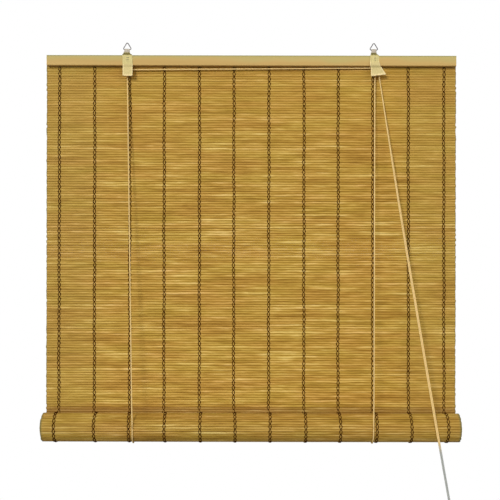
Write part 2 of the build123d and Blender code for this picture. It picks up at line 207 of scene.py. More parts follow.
def yarn_group():
    """Slanting strands of a cord or thread, from a UV map: a sine across the slant, and fluff."""
    tree, given, result = effect(
        "yarn",
        [
            ("Place", "NodeSocketVector", None),
            ("Turns", "NodeSocketFloat", 300.0),
            ("Strands", "NodeSocketFloat", 3.0),
        ],
        [("Height", "NodeSocketFloat"), ("Fluff", "NodeSocketFloat")],
    )
    parts = node(tree, "ShaderNodeSeparateXYZ", {0: given.outputs["Place"]})
    along = times(tree, parts.outputs[0], given.outputs["Turns"])
    around = times(tree, parts.outputs[1], given.outputs["Strands"])
    phase = times(tree, maths(tree, "ADD", along, around), 2 * math.pi)
    height = maths(tree, "ABSOLUTE", maths(tree, "SINE", times(tree, phase, 0.5)))
    place = node(tree, "ShaderNodeCombineXYZ", {0: along, 1: around}).outputs[0]
    tree.links.new(height, result.inputs["Height"])
    tree.links.new(noise(tree, place, 1.3, 4.0), result.inputs["Fluff"])
    return tree


FIBRES = fibres_group()
YARN = yarn_group()


def material(name, roughness, **sockets):
    """An empty material with its surface shader, whose plain values are set on its own sockets."""
    made = bpy.data.materials.new(name)
    made.use_nodes = True
    tree = made.node_tree
    tree.nodes.clear()
    surface = node(tree, "ShaderNodeBsdfPrincipled", {"Roughness": roughness})
    for label, value in sockets.items():
        surface.inputs[label.replace("_", " ")].default_value = value
    output = tree.nodes.new("ShaderNodeOutputMaterial")
    tree.links.new(surface.outputs[0], output.inputs[0])
    return made, tree, surface


def placed(tree, group, place, **values):
    """A shared effect put into a material, at a place and with its own values."""
    made = node(tree, "ShaderNodeGroup", node_tree=group)
    tree.links.new(place, made.inputs["Place"])
    for label, value in values.items():
        made.inputs[label].default_value = value
    return made


def relief(tree, surface, height, strength, depth):
    """Bump from a height."""
    bump = node(tree, "ShaderNodeBump", {"Height": height, "Strength": strength, "Distance": depth})
    tree.links.new(bump.outputs[0], surface.inputs["Normal"])


def bamboo_material(name, dim, rim_width, worn):
    """Split bamboo, on UVs in metres. Each slat has its own tone and slow changes along it, and two bands
    of its own; fine fibres lie over that, and a painted highlight lies along each slat's crown. Slats meet
    at a dark line of painted shade in the gap, strong at some and faint at others.
    The attribute lively says how far tones and lines stand out, and dark where painted shade falls on the
    mat. The slats grow greyer towards their ends, by the share worn, and more so on the last rim_width,
    while the cut itself is pale. dim scales the whole colour, which darkens the rolled copy as painted
    shade."""
    made, tree, surface = material(name, 0.5, Specular_IOR_Level=0.12)
    uv = node(tree, "ShaderNodeUVMap").outputs[0]
    parts = node(tree, "ShaderNodeSeparateXYZ", {0: uv})
    across = maths(tree, "DIVIDE", parts.outputs[1], PITCH)
    inside = maths(tree, "FRACT", across)
    number = maths(tree, "FLOOR", across)
    own = node(tree, "ShaderNodeTexWhiteNoise", {"W": number}, noise_dimensions="1D").outputs[0]
    streaks = placed(tree, FIBRES, uv, Along=22.0, Across=1100.0)
    tree.links.new(times(tree, own, 60.0), streaks.inputs["Shift"])

    def band(count, along, apart):
        """Slow noise along each slat, or each of count bands of it. apart sets how soon rows differ."""
        row = maths(tree, "FLOOR", times(tree, across, count))
        spot = {0: times(tree, parts.outputs[0], along), 1: times(tree, row, apart)}
        return centred(tree, noise(tree, node(tree, "ShaderNodeCombineXYZ", spot).outputs[0], 1.0, 2.0))

    patch = band(1.0, 7.0, 0.17)
    # Painted highlight: each slat is lighter along its crown, a little above its middle, and darker towards
    # both edges
    from_lit_crown = maths(tree, "ABSOLUTE", centred(tree, inside, 0.55))
    tone = 0.47
    for part, weight in (
        (band(1.0, 9.0, 7.31), 0.8),
        (band(2.0, 26.0, 5.17), 0.85),
        (centred(tree, streaks.outputs["Fine"]), 0.45),
        (centred(tree, streaks.outputs["Broad"]), 0.3),
        (centred(tree, own), 0.18),
        (patch, 0.3),
        (maths(tree, "SUBTRACT", 0.25, from_lit_crown), 0.5),
    ):
        tone = maths(tree, "MULTIPLY_ADD", part, weight, tone)
    lively = attribute(tree, "lively")
    tone = maths(tree, "MULTIPLY_ADD", centred(tree, tone), lively, 0.5)
    shade = ramp(
        tree,
        tone,
        [
            (0.1, colour(150, 112, 38)),
            (0.36, colour(177, 138, 57)),
            (0.5, colour(191, 151, 69)),
            (0.64, colour(206, 166, 86)),
            (0.9, colour(238, 205, 132)),
        ],
    )
    pinkish, greenish = colour(255, 240, 236), colour(247, 255, 222)
    hue = ramp(tree, maths(tree, "ADD", patch, 0.5), [(0.35, pinkish), (0.65, greenish)])
    shade = blended(tree, 0.5, shade, hue, "MULTIPLY")
    # Painted shade: a dark line in the gap where two slats meet, stronger at some seams than at others
    meet = maths(tree, "FLOOR", maths(tree, "ADD", across, 0.5))
    strong = node(tree, "ShaderNodeTexWhiteNoise", {"W": meet}, noise_dimensions="1D").outputs[0]
    strong = maths(tree, "ADD", times(tree, strong, strong), 0.08)
    line = step(tree, maths(tree, "ABSOLUTE", centred(tree, inside)), 0.33, 0.5)
    line = times(tree, times(tree, line, strong), lively)
    shade = blended(tree, line, shade, colour(106, 72, 18))
    from_middle = maths(tree, "ABSOLUTE", parts.outputs[0])
    for first, last, strength in ((135 * MM, 65 * MM, worn), (40 * MM, 0, 0.05), (rim_width, 0, 0.8)):
        end = step(tree, from_middle, HALF_WIDTH - first, HALF_WIDTH - last)
        shade = blended(tree, times(tree, end, strength), shade, colour(122, 118, 72))
    facing = node(tree, "ShaderNodeNewGeometry").outputs["True Normal"]
    sideways = node(tree, "ShaderNodeSeparateXYZ", {0: facing}).outputs[0]
    cut = step(tree, maths(tree, "ABSOLUTE", sideways), 0.8, 0.95)
    shade = blended(tree, cut, shade, colour(232, 194, 124))
    # Painted shade: the attribute dark blends in a brown shade where the mat meets the roll and behind the
    # roll
    shade = blended(tree, attribute(tree, "dark"), shade, colour(112, 72, 30))
    shade = blended(tree, 1.0, shade, (dim, dim, dim * 0.94, 1), "MULTIPLY")
    tree.links.new(shade, surface.inputs["Base Color"])
    relief(tree, surface, streaks.outputs["Fine"], 0.5, 0.0005)
    return made


def wood_material(name, dark, light, along=3.0, across=260.0, tint=0.0):
    """Planed wood with its grain along X: fine pores over broad bands, and with a tint the front is
    greener towards its top edge."""
    made, tree, surface = material(name, 0.55, Specular_IOR_Level=0.12)
    where = node(tree, "ShaderNodeTexCoord").outputs["Object"]
    grain = placed(tree, FIBRES, where, Along=along, Across=across)
    pores = times(tree, grain.outputs["Fine"], 0.2)
    tone = maths(tree, "MULTIPLY_ADD", grain.outputs["Broad"], 0.8, pores)
    shade = ramp(tree, tone, [(0.3, dark), (0.7, light)])
    if tint:
        parts = node(tree, "ShaderNodeSeparateXYZ", {0: where})
        cloud = centred(tree, noise(tree, where, 9.0, 2.0))
        rise = maths(tree, "MULTIPLY_ADD", cloud, 0.03, parts.outputs[2])
        front = maths(tree, "SUBTRACT", 1.0, step(tree, parts.outputs[1], -19.6 * MM, -17.0 * MM))
        high = times(tree, step(tree, rise, -4 * MM, 8 * MM), times(tree, front, tint))
        shade = blended(tree, high, shade, colour(188, 178, 112))
        edge = times(tree, step(tree, parts.outputs[2], 7.2 * MM, 9.2 * MM), 0.9)
        shade = blended(tree, times(tree, edge, front), shade, colour(142, 140, 88))
    tree.links.new(shade, surface.inputs["Base Color"])
    relief(tree, surface, grain.outputs["Fine"], 0.25, 0.0002)
    return made


def thread_material():
    """Dark twisted warp thread."""
    made, tree, surface = material("warp_thread", 0.85, Specular_IOR_Level=0.03)
    yarn = placed(tree, YARN, node(tree, "ShaderNodeUVMap").outputs[0], Turns=420.0, Strands=2.0)
    tone = times(tree, yarn.outputs["Height"], maths(tree, "ADD", yarn.outputs["Fluff"], 0.3))
    shade = ramp(tree, tone, [(0.1, colour(38, 16, 0)), (0.6, colour(66, 32, 2)), (0.95, colour(92, 50, 8))])
    tree.links.new(shade, surface.inputs["Base Color"])
    relief(tree, surface, yarn.outputs["Height"], 0.6, 0.0003)
    return made


def cord_material(name, from_uv, turns=330.0, greyed=False):
    """Cream cotton cord with slanting strands, on UVs or on the object's own coordinates; below the roll the
    pull cord is painted grey, as painted shade where it hangs backlit."""
    made, tree, surface = material(name, 0.85, Specular_IOR_Level=0.05)
    where = node(tree, "ShaderNodeTexCoord").outputs["Object"]
    place = node(tree, "ShaderNodeUVMap").outputs[0] if from_uv else where
    yarn = placed(tree, YARN, place, Turns=turns, Strands=3.0 if from_uv else 500.0)
    fluff = times(tree, yarn.outputs["Fluff"], 0.6)
    tone = maths(tree, "MULTIPLY_ADD", yarn.outputs["Height"], 0.5, fluff)
    shade = ramp(tree, tone, [(0.15, colour(212, 176, 108)), (0.8, colour(246, 214, 148))])
    if greyed:
        # Painted shade: the pull cord turns grey below the roll, where it hangs backlit
        grey_below, cream_above = -755 * MM, -725 * MM
        height = node(tree, "ShaderNodeSeparateXYZ", {0: where}).outputs[2]
        backlit_shade = maths(tree, "SUBTRACT", 1.0, step(tree, height, grey_below, cream_above))
        grey = ramp(tree, tone, [(0.15, colour(148, 150, 144)), (0.8, colour(184, 186, 180))])
        shade = blended(tree, backlit_shade, shade, grey)
    tree.links.new(shade, surface.inputs["Base Color"])
    relief(tree, surface, yarn.outputs["Height"], 0.5, 0.0003)
    return made


def tape_material():
    """Cream twill tape, on UVs in metres: slanting ribs, paler selvedges, and painted shade at its folds and
    creases.
    """
    made, tree, surface = material("twill_tape", 0.85, Specular_IOR_Level=0.05)
    yarn = placed(tree, YARN, node(tree, "ShaderNodeUVMap").outputs[0], Turns=900.0, Strands=1400.0)
    fluff = times(tree, yarn.outputs["Fluff"], 0.5)
    tone = maths(tree, "MULTIPLY_ADD", yarn.outputs["Height"], 0.25, fluff)
    plain = ramp(tree, tone, [(0.1, colour(208, 192, 126)), (0.6, colour(226, 212, 150))])
    doubled = ramp(tree, tone, [(0.1, colour(208, 188, 126)), (0.6, colour(226, 208, 150))])
    shade = blended(tree, attribute(tree, "layer"), plain, doubled)
    shade = blended(tree, attribute(tree, "selvedge"), shade, colour(252, 228, 170))
    shade = blended(tree, attribute(tree, "neck"), shade, colour(204, 194, 178))
    # Painted shade: darker olive where the tape folds over the rail, along its creases and at the ring's bar
    soiled = maths(tree, "MINIMUM", attribute(tree, "soiled"), 1.0)
    shade = blended(tree, soiled, shade, colour(104, 94, 48))
    tree.links.new(shade, surface.inputs["Base Color"])
    relief(tree, surface, yarn.outputs["Height"], 0.5, 0.0003)
    return made


def wire_material(name, dark, light):
    """Drawn steel wire: a dull metal with faint rubbed patches."""
    made, tree, surface = material(name, 0.5, Metallic=0.3, Specular_IOR_Level=0.2)
    rubbed = noise(tree, node(tree, "ShaderNodeTexCoord").outputs["Object"], 420.0, 3.0)
    dull = node(tree, "ShaderNodeMapRange", {0: rubbed, 3: 0.32, 4: 0.55}).outputs[0]
    tree.links.new(ramp(tree, rubbed, [(0.35, dark), (0.65, light)]), surface.inputs["Base Color"])
    tree.links.new(dull, surface.inputs["Roughness"])
    return made


bamboo = bamboo_material("hanging_bamboo", 1.0, 2 * MM, 0.1)
# The rolled bamboo is the mat's bamboo dimmed to 0.85, as painted shade on the roll
rolled_bamboo = bamboo_material("rolled_bamboo", 0.85, 5 * MM, 0.03)
rail_wood = wood_material("rail_wood", colour(196, 160, 94), colour(210, 178, 113), tint=0.6)
pole_wood = wood_material("pole_wood", colour(160, 124, 66), colour(196, 160, 98), 6.0, 400.0)
thread = thread_material()
cord_cotton = cord_material("cord_cotton", True)
cord_cotton_plain = cord_material("cord_cotton_fixed", False, 500.0)
cord_cotton_pulled = cord_material("cord_cotton_pulled", True, greyed=True)
tape = tape_material()
ring_steel = wire_material("ring_wire", colour(88, 84, 84), colour(128, 124, 122))
bright_steel = wire_material("zinc_wire", colour(108, 104, 92), colour(146, 142, 130))


def mesh_piece(name, points, polygons, uv, finish, body, slot, replaced=(), **values):
    """A mesh from an array of points and lists of polygons, with a UV and named values for each point. It
    is shaded smooth but for polygons of more than four corners, which are cut ends."""
    mesh = bpy.data.meshes.new(name)
    mesh.from_pydata(np.asarray(points).reshape(-1, 3).tolist(), [], polygons)
    corners = np.zeros(len(mesh.loops), np.int32)
    mesh.loops.foreach_get("vertex_index", corners)
    layer = mesh.uv_layers.new(name="UVMap")
    layer.data.foreach_set("uv", np.asarray(uv, np.float32).reshape(-1, 2)[corners].ravel())
    for label, value in values.items():
        carried = mesh.attributes.new(label, "FLOAT", "POINT")
        carried.data.foreach_set("value", np.asarray(value, np.float32).ravel())
    mesh.polygons.foreach_set("use_smooth", np.array([len(polygon) < 5 for polygon in polygons]))
    mesh.materials.append(finish)
    piece = bpy.data.objects.new(name, mesh)
    scene.collection.objects.link(piece)
    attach(piece, body)
    if replaced:
        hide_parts(*replaced)
    return piece


def ring_faces(count, rings, around):
    """Polygons of count tubes, each of so many rings of points, with both ends closed."""
    first = (np.arange(count) * rings * around)[:, None, None]
    ring = np.arange(rings - 1)[None, :, None] * around
    j = np.arange(around)[None, None, :]
    k = (j + 1) % around
    low, high = first + ring, first + ring + around
    quads = np.stack([low + j, low + k, high + k, high + j], -1)
    start = first[:, 0, :] + np.arange(around)[::-1]
    end = first[:, 0, :] + (rings - 1) * around + np.arange(around)
    return quads.reshape(-1, 4).tolist() + start.tolist() + end.tolist()


def tube(path, run, aside, radius, around=10):
    """A tube: on each point of a path a circle of the radius, square to the path's direction run there.
    The circle's first axis is run x aside and its second is run x first. Returns points and angles."""
    run = run / np.linalg.norm(run, axis=1, keepdims=True)
    first = np.cross(run, aside)
    first /= np.linalg.norm(first, axis=1, keepdims=True)
    second = np.cross(run, first)
    angle = 2 * np.pi * np.arange(around) / around
    ring = np.cos(angle)[None, :, None] * first[:, None] + np.sin(angle)[None, :, None] * second[:, None]
    return path[:, None] + ring * radius, angle


def slat_blades(name, centre, tangent, normal, stagger, body, replaced, tones, finish, dark):
    """Split bamboo slats side by side. Slat i runs along X, from -HALF_WIDTH to HALF_WIDTH, with its
    middle at centre[i] in Y and Z. Its section is a rounded box, w sgn(cos a) |cos a|^0.28 along the
    tangent and t sgn(sin a) |sin a|^0.5 along the normal. Both edges waver along X with slow sines, and
    neighbours share one edge line, so no two meet: overlap only makes up for the corners that eight
    points cut off. w, t and the height change a little from slat to slat. tones numbers the slats from
    the top of the mat: its upper part, by a bell curve, and the side edges, by a slope, are calmer in
    tone. A column near each end keeps the shading of the cut off the slat."""
    count = len(centre)
    columns, around = 8, 8
    overlap, furthest, rounding = 0.045 * MM, 0.6 * MM, 1.5 * MM
    upper_rows, calm_from, calm_to = 34, 260 * MM, 360 * MM
    inner = HALF_WIDTH - rounding
    x = np.concatenate([[-HALF_WIDTH], np.linspace(-inner, inner, columns - 2), [HALF_WIDTH]])
    waves = chance.uniform(4, 22, (count + 1, 3, 1)) * x + chance.uniform(0, 6.28, (count + 1, 3, 1))
    edges = np.sin(waves).sum(1) * 0.1 * MM + chance.normal(0, 0.2 * MM, (count + 1, 1))
    edges = np.clip(edges, -furthest, furthest)
    upper = PITCH / 2 + overlap + edges[:-1]
    lower = -PITCH / 2 - overlap + edges[1:]
    middle = (upper + lower) / 2
    half = (upper - lower) / 2
    lift = np.sin(waves[1:, 0] * 0.7) * 0.12 * MM + chance.normal(0, 0.12 * MM, (count, 1))
    thick = MAT_HALF * (0.86 + 0.1 * chance.random((count, 1))) * np.ones_like(lift)
    angle = 2 * np.pi * (np.arange(around) + 0.5) / around
    side = np.sign(np.cos(angle)) * np.abs(np.cos(angle)) ** 0.28
    rise = np.sign(np.sin(angle)) * np.abs(np.sin(angle)) ** 0.5
    s = middle[..., None] + half[..., None] * side
    h = lift[..., None] + thick[..., None] * rise
    centre, tangent, normal = (rows[:, None, None, :] for rows in (centre, tangent, normal))
    yz = centre + s[..., None] * tangent + h[..., None] * normal
    xs = np.broadcast_to(x[None, :, None] + stagger[:, None, None], s.shape)
    points = np.concatenate([xs[..., None], yz], -1)
    v = (tones[:, None, None] + 0.5 + 0.499 * side) * PITCH
    upper_part = np.exp(-((tones[:, None, None] / upper_rows) ** 2))
    sides = np.clip((np.abs(xs) - calm_from) / (calm_to - calm_from), 0, 1)
    lively = 1.05 - 0.5 * upper_part - 0.16 * sides
    uv = np.stack([xs, np.broadcast_to(v, s.shape)], -1)
    return mesh_piece(
        name, points, ring_faces(count, columns, around), uv, finish, body, "bamboo", replaced,
        dark=np.broadcast_to(dark[:, None, None], s.shape), lively=lively,
    )


def hanging_slats():
    """The hanging mat: slats one below the other, from inside the head down to the roll. Painted shade
    darkens it by a bell curve where it meets the top of the roll, and below that, behind the roll. The first
    slat below the rail is number FIRST_TONE for its tones."""
    clamped = int(round((MAT_TOP - RAIL_BOTTOM) / PITCH - 0.5))
    number = np.arange(-clamped, SLATS)
    z = RAIL_BOTTOM - (number + 0.5) * PITCH
    centre = np.stack([np.full(len(z), MAT_MIDDLE_Y), z], -1)
    tangent = np.tile([0.0, 1.0], (len(z), 1))
    normal = np.tile([-1.0, 0.0], (len(z), 1))
    stagger = chance.normal(0, 0.3 * MM, len(z))
    # Painted shade: a dark band where the mat meets the roll's top, and the mat darker below it, behind the
    # roll
    junction_shade_z, junction_shade_width, shaded = -681 * MM, 4.5 * MM, -686 * MM
    dark = 0.6 * np.exp(-(((z - junction_shade_z) / junction_shade_width) ** 2)) + 0.35 * (z < shaded)
    mat = slat_blades(
        "mat_slats", centre, tangent, normal, stagger, "head", ["slat_mat"],
        number + FIRST_TONE, bamboo, dark,
    )
    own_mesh(mat)


def spiral(way, height):
    """Points and directions on the spiral of the roll, at a way along the middle of the mat from where
    it meets the hanging part. Half turn k is an arc of radius ROLL_RADIUS - k TURN_PITCH / 2 round a
    centre that shifts by TURN_PITCH / 2 on every other one. height is outwards from the mat's middle."""
    k = np.arange(HALF_TURNS)
    radius = ROLL_RADIUS - k * TURN_PITCH / 2 - MAT_HALF
    start = np.concatenate([[0], np.cumsum(np.pi * radius)])
    turn = np.clip(np.searchsorted(start, way, side="right") - 1, 0, HALF_TURNS - 1)
    angle = np.pi * (turn + (way - start[turn]) / (start[turn + 1] - start[turn]))
    middle_y = ROLL_Y - (turn % 2) * TURN_PITCH / 2
    outwards = np.stack([np.cos(angle), -np.sin(angle)], -1)
    onwards = np.stack([-np.sin(angle), -np.cos(angle)], -1)
    middle = np.stack([middle_y, np.full_like(middle_y, ROLL_Z)], -1)
    return middle + (radius[turn] + height)[..., None] * outwards, onwards, outwards, start[-1]


def rolled_slats():
    """The rolled part: the same slats laid along the spiral, a little to one side or the other by a sine
    of the way along it."""
    length = spiral(np.zeros(1), np.zeros(1))[3]
    count = int(length / PITCH)
    way = (np.arange(count) + 0.5) * PITCH
    centre, onwards, outwards, _ = spiral(way, np.zeros(count))
    stagger = 0.9 * MM * np.sin(way / 0.051) * np.clip(way / 0.05, 0, 1) + chance.normal(0, 0.35 * MM, count)
    slat_blades(
        "roll_slats", centre, -onwards, outwards, stagger, "roll", ["rolled_mat"],
        np.arange(count) + FIRST_TONE + SLATS, rolled_bamboo, np.zeros(count),
    )


def chain_grid(steps, around):
    """Shape of a pair of warp threads over steps links, before it is laid on a surface: the two cross
    at each end of a link, at +/- A |sin(pi t)|^0.95, and bow apart to an eye between. At a crossing one
    lies over the other, by a cosine. Returns sideways place and height of each point of both tubes."""
    bowed, thread_half, thread_height = 2.4 * MM, 0.74 * MM, 0.72 * MM
    lying, crossing = 0.5 * MM, 0.36 * MM
    t = steps[:, None]
    sign = np.array([1.0, -1.0])[None, :]
    bow = np.sin(np.pi * t)
    sway = sign * bowed * np.sign(bow) * np.abs(bow) ** 0.95
    height = lying + crossing * sign * np.cos(np.pi * t)
    slope = bowed * np.pi / LINK * np.cos(np.pi * t)
    widen = np.sqrt(1 + slope**2)
    angle = 2 * np.pi * np.arange(around) / around
    wide = thread_half * widen[..., None] * np.cos(angle) * np.ones((1, 2, 1))
    high = thread_height * np.sin(angle) * np.ones_like(wide)
    return sway[..., None] + wide, height[..., None] + high


def lay_chains(name, way, place, drift, body, replaced):
    """Chains of warp threads laid on a surface, at every warp. place turns a way along the mat and a
    height above its face into Y and Z; drift gives each warp's own shift along X. Tubes of five sides."""
    around = 5
    sideways, height = chain_grid(way / LINK, around)
    ways = np.broadcast_to(way[:, None, None], sideways.shape)
    yz = place(ways, height)
    phase = np.arange(len(WARPS))[:, None] * 2.4
    wobble = 0.3 * MM * (np.sin(way * 31 + phase) + np.sin(way * 74 + 1.7 * phase)) + drift
    x = WARPS[:, None, None, None] + wobble[:, :, None, None] + sideways[None]
    points = np.concatenate([x[..., None], np.broadcast_to(yz, x.shape + (2,))], -1)
    points = points.transpose(0, 2, 1, 3, 4)
    u = np.broadcast_to(ways, x.shape).transpose(0, 2, 1, 3)
    v = np.broadcast_to(np.arange(around) / around, u.shape)
    faces = ring_faces(2 * len(WARPS), len(way), around)
    return mesh_piece(name, points, faces, np.stack([u, v], -1), thread, body, "dark_thread", replaced)


def warp_chains():
    """The chains in front of and behind the hanging mat, and round the outer turn of the roll. Each warp
    wanders a little to one side over the height, from its place high to its place low, and more on the
    first part of the roll. Between the mat and the roll they are pressed flat, into the room that is left
    there when the roll is right up. On the roll they go from 6 degrees of the first half turn to 155
    degrees of the second."""
    step_length = LINK / 6
    top = 0.4 * MM
    bottom = RAIL_BOTTOM - ROLL_Z
    face = 0.9 * MAT_HALF
    front = np.arange(top, bottom - 8 * MM, step_length)
    back = np.arange(top, bottom - 1.5 * MM, step_length)
    high = np.array([0.4, 1.0, 1.4, 0.2, 1.0, 0, 0.2, 0.4, -1.0, -1.6, -0.6, 0.6])[:, None] * MM
    low = np.array([0.0, 1.0, 1.8, 0.6, 1.6, 0.4, 0.6, 1.2, -0.2, -0.8, 1.0, 2.2])[:, None] * MM
    rolled = np.array([0.6, 8.9, 6.0, 6.1, 5.9, 3.8, 2.9, 2.2, 0.0, 1.5, -1.3, 0.4])[:, None] * MM

    def before(way, height):
        near = (bottom - way) * KEEP
        inner = ROLL_RADIUS - TURN_PITCH
        room = MAT_MIDDLE_Y - MAT_HALF - ROLL_Y - np.sqrt(np.clip(inner**2 - near**2, 0, None))
        flat = np.clip((room - 0.15 * MM) / (1.7 * MM), 0.1, 1)
        return np.stack([MAT_MIDDLE_Y - face - height * flat, RAIL_BOTTOM - way], -1)

    def behind(way, height):
        return np.stack([MAT_MIDDLE_Y + face + height, RAIL_BOTTOM - way], -1)

    for name, way, place, replaced in (
        ("warp_chains_front", front, before, ["warp_threads"]),
        ("warp_chains_back", back, behind, []),
    ):
        drift = high + (low - high) * way / way[-1]
        piece = lay_chains(name, way, place, drift, "head", replaced)
        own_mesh(piece)

    def round_roll(way, height):
        return spiral(way.reshape(-1), (height + face).reshape(-1))[0].reshape(way.shape + (2,))

    first_half, second_half = np.pi * (ROLL_RADIUS - np.arange(2) * TURN_PITCH / 2 - MAT_HALF)
    begins, ends = first_half * 6 / 180, first_half + second_half * 155 / 180
    turned = np.arange(begins, ends, step_length)
    drift = low + (rolled - low) * np.clip(turned / (first_half * 0.55), 0, 1)
    lay_chains("warp_chains_roll", turned, round_roll, drift, "roll", ["roll_warp_threads"])


def tape_tab(name, node_name, rows, slant, seed):
    """One tape tab as a cloth strip. rows gives, at places along the tape, Y, Z, its left and right edge,
    and how deep it is pleated there, in millimetres, and how far it is doubled and how dark its painted
    shade at folds and creases is. Between them straight lines run, and all but the last two are eased by a
    running mean. Across the tape the cloth keeps to a straight line, plus pleats p sin(6 pi u) and a slow
    ripple. slant is how much higher the right edge of the flap ends."""
    own = np.random.default_rng(seed)
    flap_depth, flap_top, flap_height, hem_top, neck_bottom = -19, -9, 20, -27.5, 15.5
    table = np.array(rows, float)
    steps = np.hypot(np.diff(table[:, 0]), np.diff(table[:, 1]))
    way = np.concatenate([[0], np.cumsum(steps)])
    count, across = 150, 25
    along = np.linspace(0, way[-1], count)
    eased = np.stack([np.interp(along, way, column) for column in table.T[:5]], -1)
    padded = np.concatenate([np.repeat(eased[:1], 2, 0), eased, np.repeat(eased[-1:], 2, 0)])
    eased = sum(padded[i : i + count] for i in range(5)) / 5
    path = eased[:, :2]
    run = np.gradient(path, axis=0)
    run /= np.linalg.norm(run, axis=1, keepdims=True)
    out = np.stack([-run[:, 1], run[:, 0]], -1)
    u = np.linspace(0, 1, across)
    ripple = 0.12 * np.sin(along[:, None] * 0.5 + 5 * u[None] + own.uniform(0, 6))
    pleat = eased[:, 4:5] * np.sin(6 * np.pi * u)[None] + ripple
    x = eased[:, 2:3] + (eased[:, 3:4] - eased[:, 2:3]) * u[None]
    yz = path[:, None] + pleat[..., None] * out[:, None]
    hang = np.clip((flap_top - yz[..., 1]) / flap_height, 0, 1) * (yz[..., 0] < flap_depth)
    yz[..., 1] += slant * hang * u[None]
    points = np.concatenate([x[..., None], yz], -1) * MM
    uv = np.stack(np.broadcast_arrays(u[None] * TAPE_WIDTH, along[:, None] * MM), -1)
    i, j = np.meshgrid(np.arange(count - 1), np.arange(across - 1), indexing="ij")
    a = i * across + j
    faces = np.stack([a, a + 1, a + across + 1, a + across], -1).reshape(-1, 4).tolist()
    layer, soiled = (np.interp(along, way, column)[:, None] * np.ones_like(x) for column in table.T[5:])
    selvedge = np.clip((np.abs(u - 0.5) * 2 - 0.8) / 0.12, 0, 1)[None] * layer
    hem = np.clip((hem_top - eased[:, 1:2]) / 2, 0, 1) * np.ones_like(x)
    selvedge = 0.85 * np.maximum(selvedge, hem)
    neck = np.clip((eased[:, 1:2] - neck_bottom) / 1.5, 0, 1) * np.ones_like(x)
    piece = mesh_piece(
        name, points, faces, uv, tape, "head", "cream_tape", [node_name],
        layer=layer, selvedge=selvedge, soiled=soiled, neck=neck,
    )
    wall = piece.modifiers.new("thickness", "SOLIDIFY")
    wall.thickness = 0.8 * MM
    wall.offset = 0


# Both tabs: Y, Z, left edge, right edge, pleat depth, doubled cloth, painted shade at folds and creases
tape_tab(
    "tape_left", "tape_tab_left",
    [
        (-22.1, -7.4, -249.3, -230.6, 0.0, 1, 0.25),
        (-22.3, -9.0, -249.4, -230.5, 0.0, 1, 0),
        (-22.9, -12.5, -249.4, -230.6, 0.0, 1, 0.3),
        (-23.2, -14.0, -249.4, -230.6, 0.0, 1, 0),
        (-26.6, -30.8, -249.2, -230.5, 0.0, 1, 0),
        (-26.4, -32.0, -249.2, -230.5, 0.0, 1, 0),
        (-25.6, -31.6, -249.2, -230.5, 0.0, 1, 0),
        (-24.9, -30.0, -249.6, -230.4, 0.0, 0, 0),
        (-20.6, -10.0, -250.2, -230.6, 0.0, 0, 0),
        (-20.5, 9.4, -251.0, -231.2, 0.05, 0, 0),
        (-20.1, 10.8, -250.8, -232.0, 0.3, 0, 0.9),
        (-16.5, 13.2, -249.8, -235.6, 0.8, 0, 0.9),
        (-13.8, 15.4, -248.7, -237.2, 0.7, 0, 0.6),
        (-13.6, 17.0, -248.4, -237.4, 0.5, 1, 0),
        (-13.5, 22.4, -247.2, -237.6, 0.25, 1, 0),
        (-13.0, 23.6, -247.0, -237.6, 0.1, 1, 0),
        (-12.0, 24.0, -247.0, -237.6, 0.1, 1, 0),
        (-11.0, 23.6, -247.0, -237.6, 0.1, 1, 0),
        (-10.5, 22.4, -247.0, -237.6, 0.1, 1, 0),
        (-10.4, 15.0, -247.0, -237.6, 0.1, 1, 0),
        (-8.7, 10.0, -246.8, -237.8, 0.0, 1, 0),
        (-8.6, -9.0, -246.8, -237.8, 0.0, 1, 0),
    ],
    slant=0.0,
    seed=3,
)
tape_tab(
    "tape_right", "tape_tab_right",
    [
        (-23.0, -12.2, 231.2, 251.2, 0.2, 1, 0.8),
        (-23.2, -13.2, 231.3, 251.4, 0.2, 1, 0.4),
        (-23.4, -15.5, 231.4, 252.2, 0.1, 1, 0.1),
        (-26.9, -31.0, 231.6, 260.2, 0.4, 1, 0),
        (-26.7, -32.2, 231.6, 260.6, 0.4, 1, 0),
        (-25.9, -31.8, 231.6, 260.2, 0.3, 1, 0),
        (-25.2, -29.5, 231.8, 258.6, 0.2, 0, 0),
        (-21.3, -13.4, 231.6, 250.6, 0.2, 0, 0),
        (-22.6, -10.8, 230.4, 250.2, 0.3, 1, 0),
        (-23.3, -8.6, 229.8, 249.6, 0.3, 1, 0),
        (-22.9, -5.4, 229.9, 248.6, 0.4, 1, 0),
        (-21.3, -1.0, 230.4, 247.8, 0.6, 0.3, 0),
        (-20.7, 9.4, 230.6, 247.8, 0.5, 0, 0),
        (-20.2, 10.8, 231.2, 247.4, 0.6, 0, 0.5),
        (-16.5, 13.2, 232.4, 245.0, 0.9, 0, 1),
        (-13.8, 15.4, 233.2, 243.6, 0.7, 0, 0.8),
        (-13.6, 17.0, 233.4, 243.4, 0.5, 1, 0.1),
        (-13.5, 21.4, 234.0, 243.4, 0.25, 1, 0),
        (-13.3, 22.8, 234.0, 243.4, 0.25, 1, 0.45),
        (-13.0, 23.6, 234.0, 243.4, 0.1, 1, 0.3),
        (-12.0, 24.0, 234.0, 243.4, 0.1, 1, 0),
        (-11.0, 23.6, 234.0, 243.4, 0.1, 1, 0),
        (-10.5, 22.4, 234.0, 243.4, 0.1, 1, 0),
        (-10.4, 15.0, 234.0, 243.4, 0.1, 1, 0),
        (-8.7, 10.0, 234.2, 243.2, 0.0, 1, 0),
        (-8.6, -9.0, 234.2, 243.2, 0.0, 1, 0),
    ],
    slant=3.8,
    seed=8,
)

hanging_slats()
rolled_slats()
warp_chains()


